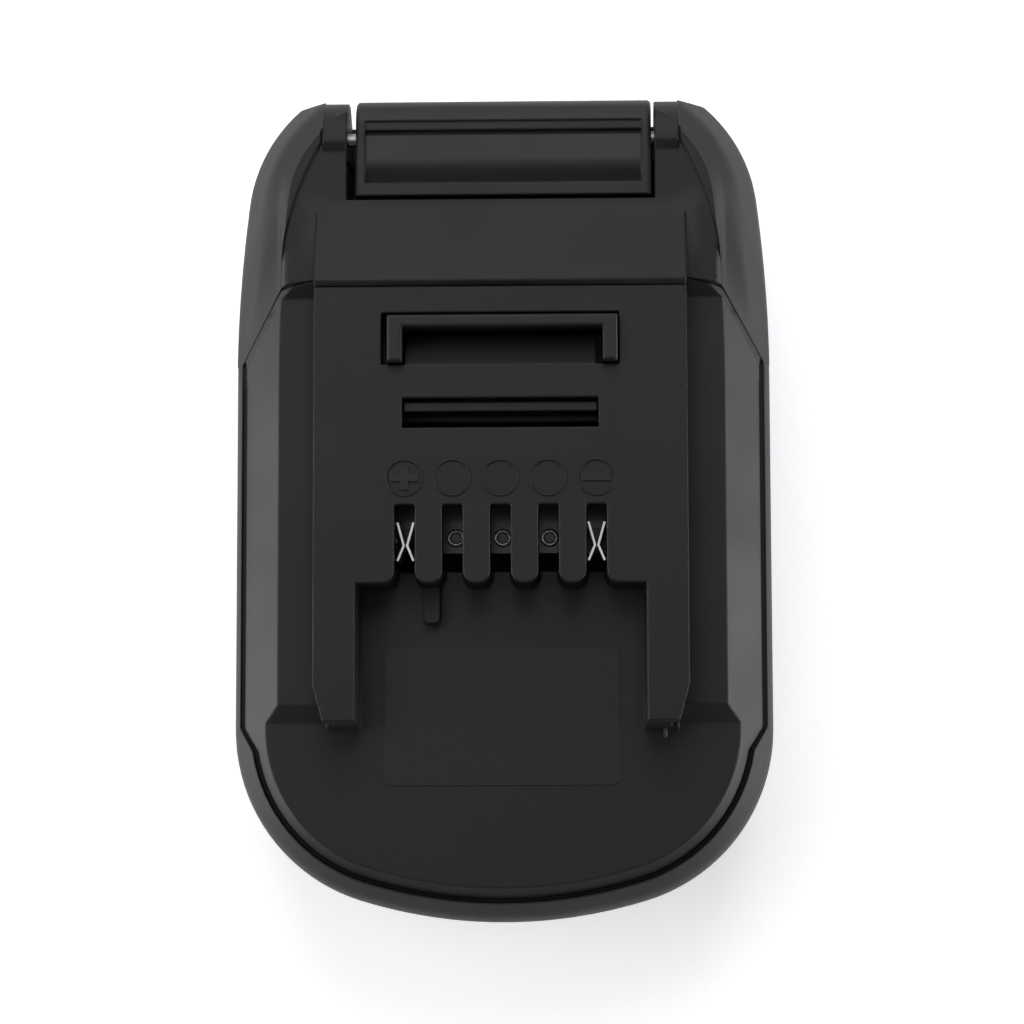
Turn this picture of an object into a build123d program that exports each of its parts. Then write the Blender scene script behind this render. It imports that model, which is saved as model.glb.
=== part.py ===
from build123d import *
import os
from math import asin, atan2, cos, degrees, pi, radians, sin, sqrt, tan

# Tool battery adapter. X runs across it, +Y points at the release button, +Z at the tool.
# It rests on its battery side at Z = 0. Lengths are in millimetres, angles in degrees.

os.makedirs("parts", exist_ok=True)

# Whole object
width = 78.0
platform_z = 46.0
wall = 2.2
skin = 2.0
seam_gap = 0.3
seam_end_gap = 0.15
seat_gap = 0.05
free_gap = 0.3
overrun = 5.0

# Plan outline
end_arc_r = 70.0
corner_r = 25.9
side_arc_r = 208.0
side_arc_length = 40.3
front_corner_r = 22.5
front_corner_length = 13.8
nose = 5.0

# Outer surface, with heights given as drops below the top of the platform
ridge_rise = 0.6
ridge_run = 0.6
ridge_flat = 0.5
rim_drop = 3.4
hip_drop = 7.6
deck_drop = 4.0
ledge_drop = 6.5
floor_drop = 8.5
seam_drop = 12.0
shelf_drop = 13.0
shoulder_drop = 13.6
side_draft = 0.6
shoulder_taper = 38.0
hip_taper = 27.0
brow_taper = 43.0
band_taper = 43.4
shoulder_r = 6.0
hip_r = 8.0

# Seam between the two shells
seam_side_inset = 1.1
seam_end_inset = 2.9
seam_groove_width = 0.65
seam_groove_depth = 0.6
lip_thick = 1.6
lip_depth = 2.0

# Stations behind the front edge
front_wall_back = 2.4
pin_back = 6.05
bay_wall_back = 15.3
ramp_foot_back = 17.15
ridge_back = 27.95
strip_ahead = 1.0
strip_slant = 0.8
seam_corner_back = 38.0
seam_end_half = 31.7
crease_front_half = 25.9
crease_front_back = 6.8
crease_rear_half = 31.9
crease_bow = 1.45

# Platform, ledges and recess of the tool side
web_half = 24.0
rail_overhang = 2.5
groove_roof = 2.5
mouth_from_ridge = 43.0
leg_length = 19.4
leg_end_run = 0.9
end_from_legs = 28.5
leg_web = 3.4
leg_draft = 2.0
leg_chamfer_x = 1.4
leg_chamfer_y = 5.0
step_length = 2.5
strip_length = 2.1
jog_from_legs = 0.55
jog_length = 3.45
slot_count = 5
slot_pitch = 6.78
slot_width = 2.97
slot_length = 11.1
slot_end_r = 0.4
finger_r = 1.7
key_rib_width = 2.36
key_rib_length = 5.3
key_rib_height = 2.0
key_rib_x = -10.0
key_rib_r = 0.8
stub_x = 23.2
stub_width = 0.35
stub_length = 1.3
stub_height = 0.5

# Latch window, interlock slot and the latch that stands in them
window_from_ridge = 4.5
window_width = 33.8
window_length = 7.5
latch_play = 0.6
latch_shift = 0.35
hook_thick = 1.7
hook_leg_width = 2.1
hook_rise = 2.0
hook_leg_gap = 0.3
hook_edge = 0.25
tongue_gap = 0.5
tongue_drop = 3.4
tongue_thick = 1.4
lock_from_window = 4.7
lock_length = 4.3
lock_width = 27.9
rib_thick = 1.35
rib_offset = 1.0
rib_play = 0.2
rib_drop = 1.4
latch_drop = 7.0
latch_thick = 2.0
latch_half = 17.6
latch_lead = 3.0
latch_margin = 0.8
latch_run_gap = 0.3
tail_gap = 0.4
tail_half = 12.0
tail_from_pin = 5.1
latch_travel = 2.5
stop_length = 3.0
stop_thick = 1.5
post_x = 13.5
post_d = 4.0
post_from_ridge = 1.2
post_over_latch = 2.0

# Return springs
spring_d = 6.4
spring_wire = 0.7
spring_turns = 5
spring_close_share = 0.5
spring_least_gap = 0.4

# Release button, its lugs and its pin
button_width = 42.6
button_shift = 0.4
button_side_gap = 0.9
button_bay_depth = 11.0
button_gap = 0.6
button_front_back = 0.2
button_rise = 0.2
button_plate = 2.9
button_skirt = 8.7
button_front_r = 4.0
button_wall = 1.9
button_boss_d = 4.6
button_edge_r = 0.6
toe_length = 1.5
scoop_margin = 1.35
scoop_from_edge = 1.75
scoop_length = 9.15
scoop_step_length = 1.3
scoop_step_depth = 0.3
scoop_groove = 0.5
scoop_groove_depth = 1.1
scoop_depth = 0.75
scoop_ridge_length = 4.5
scoop_ridge_depth = 0.25
scoop_ridge_r = 4.0
scoop_deep = 1.2
scoop_wall = 0.15
pin_d = 2.0
pin_drop = 6.6
pin_reach = 2.65
pin_run_gap = 0.05
pin_fit_gap = 0.02
lug_width = 3.4
lug_rise = 0.7
lug_flat = 0.2
lug_run = 1.4
lug_r = 6.6
lug_front_back = 0.0
cheek_thick = 0.25
cheek_length = 2.0
cheek_from_pin = 1.3
cheek_drop = 1.5
lug_skirt = 2.0

# Battery bay on the underside
bay_depth = 21.0
bay_half = 29.0
bay_end_margin = 12.0
rail_reach = 4.0
rail_height = 3.0
strike_width = 20.0
strike_length = 5.0
strike_depth = 4.5
strike_back = 11.5
channel_front_back = 12.0
rail_lead_back = 8.0

# Board, clips and pads
board_thick = 1.6
board_half = 18.0
board_length = 15.6
board_lap = 5.2
board_drop = 12.0
board_screw_x = 15.8
board_screw_back = 4.0
board_boss_d = 5.0
clip_sheet = 0.35
clip_height = 9.0
clip_from_slot_end = 2.3
clip_nip = 3.3
clip_length = 5.5
clip_spread = 1.15
clip_nip_half = 0.24
clip_base_width = 2.9
clip_base_length = 3.4
pad_from_mouth = 7.4
pad_d = 2.0
pad_bead = 0.34
pad_round_share = 0.9
solder_d = 2.6
solder_height = 1.2

# Battery blades and their block
block_half = 22.0
block_length = 10.5
block_height = 15.0
blade_x = 12.0
blade_sheet = 0.8
blade_height = 6.0
blade_reach = 21.0
blade_lift = 5.0
blade_tip = 1.5
blade_inset = 1.0
tab_inset = 1.2
tab_length = 3.5
tab_rise = 3.5
blade_slot_gap = 0.5
block_screw_x = 17.5

# Leads
lead_d = 2.2
lead_x = 10.2
lead_root_back = 6.0
lead_bend_share = 0.45
lead_turn_share = 0.5
lead_slope_share = 0.05
lead_settle_share = 1.6
lead_spread_share = 0.6

# Screws
case_screw_x = 22.0
case_screw_from_ridge = 17.7
case_screw_from_legs = 3.4
case_boss_d = 7.5
cover_boss_d = 6.0
case_boss_height = 5.0
case_head_d = 5.0
case_head_height = 1.8
case_head_depth = 3.0
case_shank_d = 2.6
case_shank_length = 10.0
small_head_d = 3.8
small_head_height = 1.4
small_shank_d = 2.0
small_shank_length = 5.5
cross_width = 0.7
cross_span_share = 0.55
cross_depth_share = 0.5

# Label
label_width = 33.5
label_length = 19.6
label_from_mouth = 8.7
label_thick = 0.15
label_r = 1.0

# Levels and stations that follow from the sizes above
length = ridge_back + mouth_from_ridge + leg_length + end_from_legs
half_w = width / 2
front_y = length / 2
end_y = -length / 2
ridge_z = platform_z + ridge_rise
rim_z = platform_z - rim_drop
hip_z = platform_z - hip_drop
deck_z = platform_z - deck_drop
ledge_z = platform_z - ledge_drop
floor_z = platform_z - floor_drop
seam_z = platform_z - seam_drop
shelf_z = platform_z - shelf_drop
shoulder_z = platform_z - shoulder_drop
inner_shoulder_z = shoulder_z - wall * tan(radians(shoulder_taper / 2))
ceiling_z = bay_depth + skin
roof_z = platform_z - wall
platform_half = web_half + rail_overhang
leg_half = web_half - leg_web
top_z = platform_z + overrun
front_wall_y = front_y - front_wall_back
pin_y = front_y - pin_back
pin_z = platform_z - pin_drop
button_bay_width = button_width + 2 * button_side_gap
bay_wall_y = front_y - bay_wall_back
bay_floor_z = deck_z - button_bay_depth
ramp_foot_y = front_y - ramp_foot_back
ridge_y = front_y - ridge_back
ridge_foot_y = ridge_y - ridge_run
strip_y = ridge_y + strip_ahead
seam_corner_y = front_y - seam_corner_back
cover_end_y = ridge_foot_y - seam_end_gap
strip_end_y = strip_y - seam_end_gap
mouth_y = ridge_y - mouth_from_ridge
leg_end_y = mouth_y - leg_length
step_y = leg_end_y + step_length
jog_y = leg_end_y - jog_from_legs
jog_end_y = jog_y - jog_length
slot_end_y = mouth_y + slot_length
window_top_y = ridge_y - window_from_ridge
window_y = window_top_y - window_length / 2
window_foot_y = window_top_y - window_length
lock_y = window_foot_y - lock_from_window - lock_length / 2
latch_z = platform_z - latch_drop
latch_foot_z = latch_z - latch_thick
rib_y = lock_y + rib_offset
post_y = ridge_y - post_from_ridge
tail_end_y = pin_y - tail_from_pin
hook_half = window_width / 2 - latch_play
hook_front_y = window_top_y - latch_play
board_z = platform_z - board_drop
board_foot_z = board_z - board_thick
board_rear_y = mouth_y + board_lap
board_front_y = board_rear_y + board_length
board_screw_y = board_front_y - board_screw_back
slot_places = [slot_pitch * (i - (slot_count - 1) / 2) for i in range(slot_count)]
finger_half = (slot_pitch - slot_width) / 2
end_finger = leg_half - slot_places[-1] - slot_width / 2
finger_round = min(finger_r, finger_half - seat_gap, end_finger - seat_gap)
bay_end_y = end_y + bay_end_margin
block_y = bay_end_y + free_gap + block_length / 2
block_front_y = bay_end_y + free_gap + block_length
blade_foot_z = bay_depth - block_height + blade_lift
blade_rear_y = bay_end_y + free_gap + blade_inset
tab_y = blade_rear_y + tab_inset + tab_length / 2
case_screw_ys = (ridge_y - case_screw_from_ridge, leg_end_y + case_screw_from_legs)
case_screw_places = [(x, y) for x in (-case_screw_x, case_screw_x) for y in case_screw_ys]
lead_root_y = board_front_y - lead_root_back
lead_z = ceiling_z + free_gap + lead_d / 2


def plan(inset, z, ahead=0):
    """Plan outline of the adapter at height z, moved in by inset all round and cut off ahead of its front."""
    corner_x = half_w - corner_r
    corner_drop = sqrt((end_arc_r - corner_r) ** 2 - corner_x**2)
    end_turn = degrees(atan2(corner_x, corner_drop))
    side_x = half_w - side_arc_r
    side_y = front_y - side_arc_length
    side_turn = degrees(asin((side_arc_length - front_corner_length) / side_arc_r))
    front_x = side_x + (side_arc_r - front_corner_r) * cos(radians(side_turn))
    front_centre_y = side_y + (side_arc_r - front_corner_r) * sin(radians(side_turn))
    cut_y = front_y + ahead - inset
    front_turn = degrees(asin((cut_y - front_centre_y) / (front_corner_r - inset)))
    with BuildSketch(Plane.XY.offset(z)) as sketch:
        with BuildLine():
            end = CenterArc((0, end_y + end_arc_r), end_arc_r - inset, -90, end_turn)
            corner = CenterArc(
                (corner_x, end_y + end_arc_r - corner_drop), corner_r - inset, end_turn - 90, 90 - end_turn
            )
            side = CenterArc((side_x, side_y), side_arc_r - inset, 0, side_turn)
            Line(corner @ 1, side @ 0)
            front = CenterArc(
                (front_x, front_centre_y), front_corner_r - inset, side_turn, front_turn - side_turn
            )
            Line(front @ 1, (0, cut_y))
            mirror(about=Plane.YZ)
        make_face()
    return sketch.sketch


def seam_plan(inset, end_inset, z):
    """Plan outline of the cover, moved in from the edge of its opening, by end_inset at the ramp."""
    side_x = half_w - seam_side_inset - inset
    corner_x = half_w - corner_r
    corner_y = end_y + end_arc_r - sqrt((end_arc_r - corner_r) ** 2 - corner_x**2)
    end_r = corner_r - seam_end_inset - inset
    jog_x = corner_x + sqrt(end_r**2 - (jog_end_y - corner_y) ** 2)
    with BuildSketch(Plane.XY.offset(z)) as sketch:
        add(plan(seam_end_inset + inset, z))
        with Locations((0, jog_end_y + length / 2)):
            Rectangle(width, length, mode=Mode.SUBTRACT)
        with BuildLine():
            Polyline(
                (0, jog_end_y),
                (jog_x, jog_end_y),
                (side_x, jog_y),
                (side_x, seam_corner_y),
                (seam_end_half - inset, strip_y - strip_slant - end_inset),
                (platform_half + end_inset, strip_y - end_inset),
                (platform_half + end_inset, ridge_foot_y - end_inset),
                (0, ridge_foot_y - end_inset),
            )
            mirror(about=Plane.YZ)
        make_face()
    return sketch.sketch


def profile(points, half):
    """Solid from x = -half to half whose side view is the outline of (y, z) points."""
    with BuildPart() as body:
        with BuildSketch(Plane.YZ):
            with BuildLine():
                Polyline(*points, close=True)
            make_face()
        extrude(amount=half, both=True)
    return body.part


def screw(head_d, head_height, shank_d, shank_length, cross=True):
    """Pan head screw with its head's underside at z = 0 and its shank pointing up."""
    with BuildPart() as body:
        with BuildSketch(Plane.XY.offset(-head_height)):
            Circle(head_d / 2)
        extrude(amount=head_height)
        fillet(body.edges().group_by(Axis.Z)[0], radius=head_height / 4)
        with BuildSketch():
            Circle(shank_d / 2)
        extrude(amount=shank_length)
        chamfer(body.edges().group_by(Axis.Z)[-1], length=shank_d / 4)
        with BuildSketch(Plane.XY.offset(-head_height)):
            Rectangle(head_d * cross_span_share, cross_width)
            Rectangle(cross_width, head_d * cross_span_share)
        extrude(amount=head_height * cross_depth_share, mode=Mode.SUBTRACT)
    return body.part


def save(piece, name):
    """Labels a finished piece with its node's name and writes its STEP file."""
    piece.part.label = name
    export_step(piece.part, f"parts/{name}.step")
    print(name, "volume", round(piece.part.volume, 1))


# Battery side housing: the outer shell, with the battery bay beneath and the button bay in front
with BuildPart() as low_form:
    extrude(plan(0, shoulder_z), amount=-shoulder_z, taper=side_draft)
    extrude(plan(0, shoulder_z), amount=rim_z - shoulder_z, taper=shoulder_taper)
    shoulder_edges = low_form.edges().filter_by(lambda edge: abs(edge.center().Z - shoulder_z) < seat_gap)
    fillet(shoulder_edges, radius=shoulder_r)

hip_inset = (hip_z - shoulder_z) * tan(radians(hip_taper))
with BuildPart() as high_form:
    extrude(plan(0, shoulder_z, nose), amount=-shoulder_z, taper=side_draft)
    extrude(plan(0, shoulder_z, nose), amount=hip_z - shoulder_z, taper=hip_taper)
    extrude(plan(hip_inset, hip_z, nose), amount=rim_z - hip_z, taper=brow_taper)
    hip_edges = high_form.edges().filter_by(lambda edge: abs(edge.center().Z - hip_z) < seat_gap)
    fillet(hip_edges, radius=hip_r)
    shoulder_edges = high_form.edges().filter_by(lambda edge: abs(edge.center().Z - shoulder_z) < seat_gap)
    fillet(shoulder_edges, radius=shoulder_r)

# The bulged shoulders belong to the button end and stop at its flat front, the plain ones to the rest
far_y = front_y + overrun
front_zone = [(seam_corner_y, -overrun), (far_y, -overrun), (far_y, top_z), (seam_corner_y, top_z)]
bulge_zone = [(seam_corner_y, -overrun), (front_y, -overrun), (front_y, top_z), (seam_corner_y, top_z)]
with BuildPart() as front_form:
    add(high_form.part)
    add(profile(bulge_zone, half_w + overrun), mode=Mode.INTERSECT)

# Room inside the housing above the ceiling of the battery bay, and under the ramp
front_room_y = front_wall_y - wall
with BuildPart() as room:
    extrude(plan(wall, inner_shoulder_z), amount=ceiling_z - inner_shoulder_z, taper=side_draft)
    extrude(plan(wall, inner_shoulder_z), amount=deck_z - inner_shoulder_z, taper=shoulder_taper)
    room_profile = [
        (end_y, ceiling_z),
        (front_room_y, ceiling_z),
        (front_room_y, deck_z - wall),
        (ridge_foot_y, deck_z - wall),
        (ridge_foot_y, top_z),
        (end_y, top_z),
    ]
    add(profile(room_profile, half_w), mode=Mode.INTERSECT)
    ramp_room_profile = [
        (ridge_y - overrun, deck_z - 2 * wall),
        (ridge_y - overrun, roof_z),
        (ridge_y + ridge_flat, roof_z),
        (ramp_foot_y - skin, deck_z - wall),
        (ramp_foot_y - skin, deck_z - 2 * wall),
    ]
    add(profile(ramp_room_profile, web_half))

# Hollow side walls beside the battery bay, open to the room above
with BuildPart() as channels:
    extrude(plan(wall, shoulder_z), amount=-shoulder_z, taper=side_draft)
    channel_profile = [
        (end_y, wall),
        (front_y - channel_front_back, wall),
        (front_y - channel_front_back, ceiling_z),
        (end_y, ceiling_z),
    ]
    add(profile(channel_profile, half_w), mode=Mode.INTERSECT)
    bay_block = [(bay_end_y - skin, 0), (front_y, 0), (front_y, ceiling_z), (bay_end_y - skin, ceiling_z)]
    add(profile(bay_block, bay_half + skin), mode=Mode.SUBTRACT)

lug_front_y = front_y - lug_front_back
lug_back_y = lug_front_y - lug_r - lug_flat
lug_rear_y = lug_back_y - lug_run
lug_top_z = deck_z + lug_rise
bay_side = button_bay_width / 2
lug_half = bay_side + lug_width
strike_y = front_y - strike_back
with BuildPart() as housing:
    add(low_form.part)
    add(profile(front_zone, half_w + overrun), mode=Mode.SUBTRACT)
    add(front_form.part)
    # Opening that the cover closes
    extrude(seam_plan(0, 0, shelf_z), amount=top_z - shelf_z, mode=Mode.SUBTRACT)
    # Deck, sunk a little below the rim of the shoulders
    with BuildSketch(Plane.XY.offset(deck_z)):
        with BuildLine():
            crease_rear = (crease_rear_half, ridge_foot_y)
            crease_front = (crease_front_half, front_y - crease_front_back)
            Line((0, ridge_foot_y), crease_rear)
            SagittaArc(crease_rear, crease_front, -crease_bow)
            Polyline(crease_front, (crease_front_half, front_y + overrun), (0, front_y + overrun))
            mirror(about=Plane.YZ)
        make_face()
    extrude(amount=overrun, mode=Mode.SUBTRACT)
    # Ridge and ramp at the end of the platform
    ramp = [
        (ridge_foot_y, deck_z - wall),
        (ridge_foot_y, platform_z),
        (ridge_y, ridge_z),
        (ridge_y + ridge_flat, ridge_z),
        (ramp_foot_y, deck_z),
        (ramp_foot_y, deck_z - wall),
    ]
    add(profile(ramp, platform_half))
    add(room.part, mode=Mode.SUBTRACT)
    add(channels.part, mode=Mode.SUBTRACT)
    # Front wall set back between the shoulders
    notch = [
        (front_wall_y, -overrun),
        (front_y + overrun, -overrun),
        (front_y + overrun, top_z),
        (front_wall_y, top_z),
    ]
    add(profile(notch, lug_half), mode=Mode.SUBTRACT)
    # Walls and floor of the button bay, and the two rounded lugs that carry the pin
    bay_walls = [
        (bay_wall_y - skin, bay_floor_z - skin),
        (front_wall_y, bay_floor_z - skin),
        (front_wall_y, shoulder_z),
        (lug_rear_y, deck_z),
        (bay_wall_y - skin, deck_z),
    ]
    add(profile(bay_walls, bay_side + skin))
    with BuildSketch(Plane.YZ):
        with BuildLine():
            Polyline(
                (lug_front_y, lug_top_z - lug_r),
                (lug_front_y, lug_top_z - lug_r - lug_skirt),
                (front_wall_y, bay_floor_z),
                (front_wall_y, bay_floor_z - skin),
                (lug_rear_y, bay_floor_z - skin),
                (lug_rear_y, deck_z),
                (lug_back_y, lug_top_z),
                (lug_back_y + lug_flat, lug_top_z),
            )
            CenterArc((lug_back_y + lug_flat, lug_top_z - lug_r), lug_r, 0, 90)
        make_face()
    extrude(amount=lug_half, both=True)
    button_room = [
        (bay_wall_y, bay_floor_z),
        (front_y + overrun, bay_floor_z),
        (front_y + overrun, top_z),
        (bay_wall_y, top_z),
    ]
    add(profile(button_room, bay_side), mode=Mode.SUBTRACT)
    # Low ribs on the walls of the button bay that keep the button in line
    for side in (-1, 1):
        with BuildSketch(Plane.XY.offset(bay_floor_z)):
            with Locations((side * bay_side, pin_y - cheek_from_pin - cheek_length / 2)):
                Rectangle(2 * cheek_thick, cheek_length)
        extrude(amount=deck_z - cheek_drop - bay_floor_z)
    # Window in the bay wall for the tail of the latch
    tail_window = [
        (bay_wall_y - 2 * skin, latch_foot_z - latch_travel - tail_gap),
        (bay_wall_y + skin, latch_foot_z - latch_travel - tail_gap),
        (bay_wall_y + skin, latch_z + tail_gap),
        (bay_wall_y - 2 * skin, latch_z + tail_gap),
    ]
    add(profile(tail_window, tail_half + latch_shift + tail_gap), mode=Mode.SUBTRACT)
    # Blind holes for the ends of the pin
    with BuildSketch(Plane.YZ):
        with Locations((pin_y, pin_z)):
            Circle(pin_d / 2 + pin_fit_gap)
    extrude(amount=bay_side + pin_reach + free_gap, both=True, mode=Mode.SUBTRACT)
    # Guide posts of the latch, board bosses, screw bosses and the pocket for the battery's catch
    with BuildSketch(Plane.XY.offset(bay_depth)):
        with Locations((-post_x, post_y), (post_x, post_y)):
            Circle(post_d / 2)
    extrude(amount=latch_z + post_over_latch - bay_depth)
    with BuildSketch(Plane.XY.offset(bay_depth)):
        with Locations((-board_screw_x, board_screw_y), (board_screw_x, board_screw_y)):
            Circle(board_boss_d / 2)
    extrude(amount=board_foot_z - bay_depth)
    with BuildSketch(Plane.XY.offset(bay_depth)):
        with Locations(*case_screw_places):
            Circle(case_boss_d / 2)
    extrude(amount=skin + case_boss_height)
    with BuildSketch(Plane.XY.offset(bay_depth)):
        with Locations((0, strike_y)):
            Rectangle(strike_width + 2 * skin, strike_length + 2 * skin)
    extrude(amount=strike_depth + skin)
    # Battery bay with its two inward rails, open at the button end
    with BuildSketch(Plane.XZ.offset(-bay_end_y)):
        with BuildLine():
            Polyline(
                (0, -overrun),
                (bay_half - rail_reach, -overrun),
                (bay_half - rail_reach, rail_height),
                (bay_half, rail_height),
                (bay_half, bay_depth),
                (0, bay_depth),
            )
            mirror(about=Plane.YZ)
        make_face()
    extrude(amount=bay_end_y - front_y - overrun, mode=Mode.SUBTRACT)
    with BuildSketch():
        with BuildLine():
            Polyline(
                (bay_half - rail_reach, front_y - rail_lead_back),
                (bay_half, front_y - front_corner_length / 2),
                (bay_half, front_y + overrun),
                (0, front_y + overrun),
                (0, front_y - rail_lead_back),
                close=True,
            )
        make_face()
        mirror(about=Plane.YZ)
    extrude(amount=rail_height, mode=Mode.SUBTRACT)
    with BuildSketch(Plane.XY.offset(bay_depth)):
        with Locations((0, strike_y)):
            Rectangle(strike_width, strike_length)
    extrude(amount=strike_depth, mode=Mode.SUBTRACT)
    # Holes
    with BuildSketch(Plane.XY.offset(bay_depth)):
        with Locations(*case_screw_places):
            Circle(case_head_d / 2 + free_gap)
    extrude(amount=case_head_depth, mode=Mode.SUBTRACT)
    with BuildSketch(Plane.XY.offset(bay_depth)):
        with Locations(*case_screw_places):
            Circle(case_shank_d / 2 + seat_gap)
    extrude(amount=skin + case_boss_height, mode=Mode.SUBTRACT)
    with BuildSketch(Plane.XY.offset(board_foot_z)):
        with Locations((-board_screw_x, board_screw_y), (board_screw_x, board_screw_y)):
            Circle(small_shank_d / 2 + seat_gap)
    extrude(amount=-small_shank_length, mode=Mode.SUBTRACT)
    with BuildSketch(Plane.XY.offset(bay_depth)):
        with Locations((-block_screw_x, block_y), (block_screw_x, block_y)):
            Circle(small_shank_d / 2 + seat_gap)
        with Locations((-blade_x, tab_y), (blade_x, tab_y)):
            Rectangle(blade_sheet + 2 * blade_slot_gap, tab_length + 2 * blade_slot_gap)
    extrude(amount=skin, mode=Mode.SUBTRACT)
save(housing, "battery_side_housing")

# Tool side cover: the inner shell, with the platform, its legs, the recess and the contact slots
top_profile = [
    (end_y - overrun, 0),
    (end_y - overrun, floor_z),
    (leg_end_y, floor_z),
    (step_y, ledge_z),
    (strip_end_y - strip_length, ledge_z),
    (strip_end_y, deck_z),
    (strip_end_y, 0),
]
rim_low_z = shelf_z - seam_groove_depth
with BuildPart() as rim_form:
    low_inset = seam_side_inset + seam_groove_width - (seam_z - rim_low_z) * tan(radians(band_taper))
    extrude(plan(low_inset, rim_low_z), amount=deck_z + seam_groove_depth - rim_low_z, taper=band_taper)
    add(profile(top_profile, half_w), mode=Mode.INTERSECT)

# The edge of the cover steps down into a shallow groove along the seam
cover_foot_z = shelf_z + seam_gap
with BuildPart() as cover_rim:
    add(rim_form.part)
    rim_outline = seam_plan(seam_groove_width, seam_end_gap, cover_foot_z)
    extrude(rim_outline, amount=top_z - shelf_z, mode=Mode.INTERSECT)
with BuildPart() as groove_rim:
    add(rim_form.part.moved(Location((0, 0, -seam_groove_depth))))
    groove_outline = seam_plan(seam_gap, seam_end_gap, cover_foot_z)
    extrude(groove_outline, amount=top_z - shelf_z, mode=Mode.INTERSECT)

lip_z = shelf_z - lip_depth
with BuildPart() as cover_lip:
    lip_inset = wall + free_gap
    extrude(plan(lip_inset, inner_shoulder_z), amount=lip_z - inner_shoulder_z, taper=side_draft)
    extrude(plan(lip_inset, inner_shoulder_z), amount=deck_z - inner_shoulder_z, taper=shoulder_taper)
    lip_profile = [
        (end_y - overrun, 0),
        (end_y - overrun, floor_z),
        (leg_end_y, floor_z),
        (step_y, ledge_z),
        (cover_end_y, ledge_z),
        (cover_end_y, 0),
    ]
    add(profile(lip_profile, half_w), mode=Mode.INTERSECT)

under_profile = [
    (end_y - overrun, 0),
    (end_y - overrun, floor_z - wall),
    (leg_end_y, floor_z - wall),
    (step_y + wall / 2, ledge_z - wall),
    (cover_end_y + overrun, ledge_z - wall),
    (cover_end_y + overrun, 0),
]
with BuildPart() as cover_room:
    room_inset = wall + free_gap + lip_thick
    extrude(plan(room_inset, inner_shoulder_z), amount=lip_z - overrun - inner_shoulder_z)
    extrude(plan(room_inset, inner_shoulder_z), amount=ledge_z - inner_shoulder_z, taper=shoulder_taper)
    add(profile(under_profile, half_w), mode=Mode.INTERSECT)
    platform_room = [
        (mouth_y + wall, shelf_z),
        (mouth_y + wall, roof_z),
        (cover_end_y + overrun, roof_z),
        (cover_end_y + overrun, shelf_z),
    ]
    add(profile(platform_room, web_half - wall))

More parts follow.
